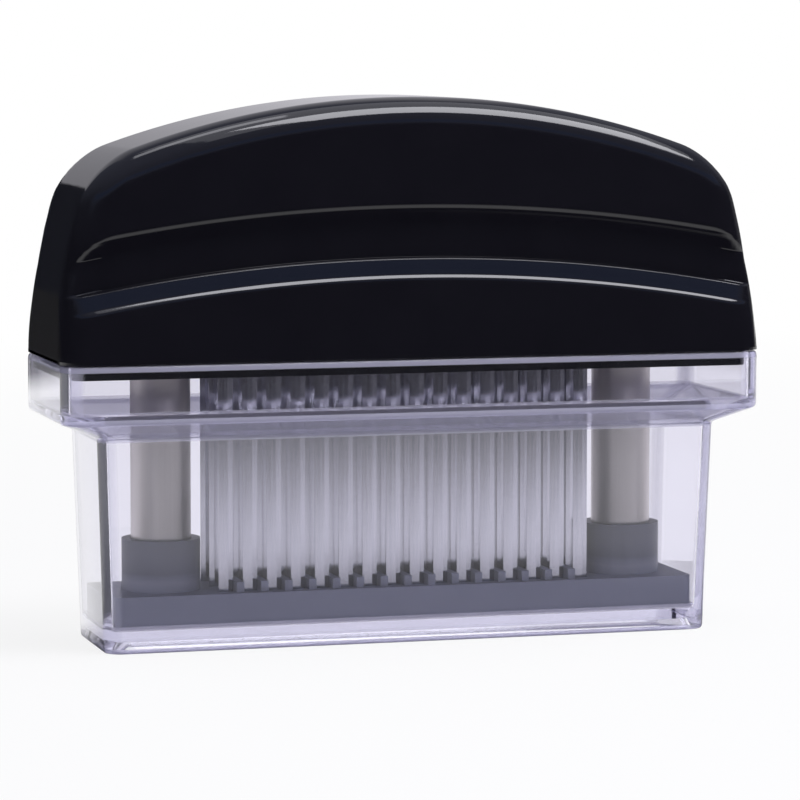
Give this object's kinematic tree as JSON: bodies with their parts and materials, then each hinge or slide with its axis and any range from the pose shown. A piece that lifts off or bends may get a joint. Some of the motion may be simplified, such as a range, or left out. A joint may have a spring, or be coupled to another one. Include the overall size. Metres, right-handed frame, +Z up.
{
  "type": "blade meat tenderizer",
  "caption": "Bowed black handle over rows of thin blades, with a sprung slotted guard on steel guide posts, standing in a clear plastic cover.",
  "frame": {"origin": "middle of the cover's underside, on the table", "axes": "+X along the handle, -Y the front face, +Z up"},
  "size_m": [0.152, 0.0434, 0.1151],
  "materials": {
    "clear_plastic": "clear, polished",
    "black_gloss": "high gloss",
    "black_plastic": "fine matt",
    "screw_steel": "zinc plated",
    "white_plastic": "smooth",
    "spring_steel": "drawn wire",
    "blade_steel": "bright, ground",
    "plate_steel": "satin sheet",
    "grey_plastic": "fine matt",
    "post_steel": "satin, drawn lengthwise"
  },
  "bodies": {
    "cover": {"clear_cover": "clear_plastic"},
    "head": {"housing_shell": "black_gloss", "housing_base": "black_plastic", "housing_screws": "screw_steel", "guide_bush_left": "white_plastic", "guide_bush_right": "white_plastic", "spring_cap_left": "black_plastic", "spring_cap_right": "black_plastic", "return_spring_left": "spring_steel", "return_spring_right": "spring_steel", "blade_holder_front": "black_plastic", "blade_holder_middle": "black_plastic", "blade_holder_rear": "black_plastic", "blade_row_front": "blade_steel", "blade_row_middle": "blade_steel", "blade_row_rear": "blade_steel", "blade_retainer": "plate_steel", "retainer_screws": "screw_steel"},
    "guard": {"guard_plate": "grey_plastic", "guide_post_left": "post_steel", "guide_post_right": "post_steel", "post_stop_left": "white_plastic", "post_stop_right": "white_plastic", "post_top_screws": "screw_steel", "post_foot_screws": "screw_steel"}
  },
  "joints": [
    {"name": "lift_out", "type": "slide", "parent": "cover", "child": "head", "axis": [0, 0, 1], "range_m": [0, 0.1]},
    {"name": "press", "type": "slide", "parent": "head", "child": "guard", "axis": [0, 0, 1], "range_m": [0, 0.025], "stiffness_N_per_m": 900, "springref_m": -0.008, "deforming": ["return_spring_left", "return_spring_right"]}
  ]
}
